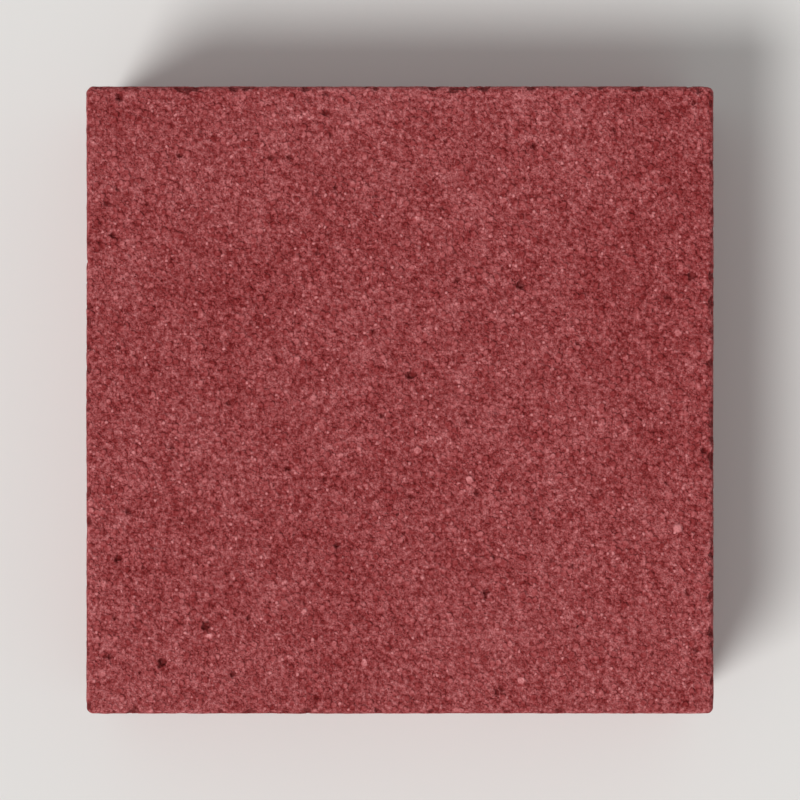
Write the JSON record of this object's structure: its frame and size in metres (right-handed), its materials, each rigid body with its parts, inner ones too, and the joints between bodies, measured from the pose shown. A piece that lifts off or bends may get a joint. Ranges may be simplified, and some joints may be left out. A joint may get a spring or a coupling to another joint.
{
  "type": "concrete paving stone",
  "caption": "Square block of red pressed concrete for paving, with a flat wearing face, lightly rounded arrises and corners, and spacer nibs up its sides that hold the sand joint open.",
  "frame": {"origin": "middle of the bedding face, which the stone lies on", "axes": "+Z from the bedding face to the wearing face; +X and +Y square to the sides"},
  "size_m": [0.2, 0.2, 0.06],
  "materials": {
    "red_concrete": "matte, finely grained and slightly porous as pressed, coloured red all through"
  },
  "bodies": {
    "root": {"paving_stone": "red_concrete"}
  },
  "joints": []
}
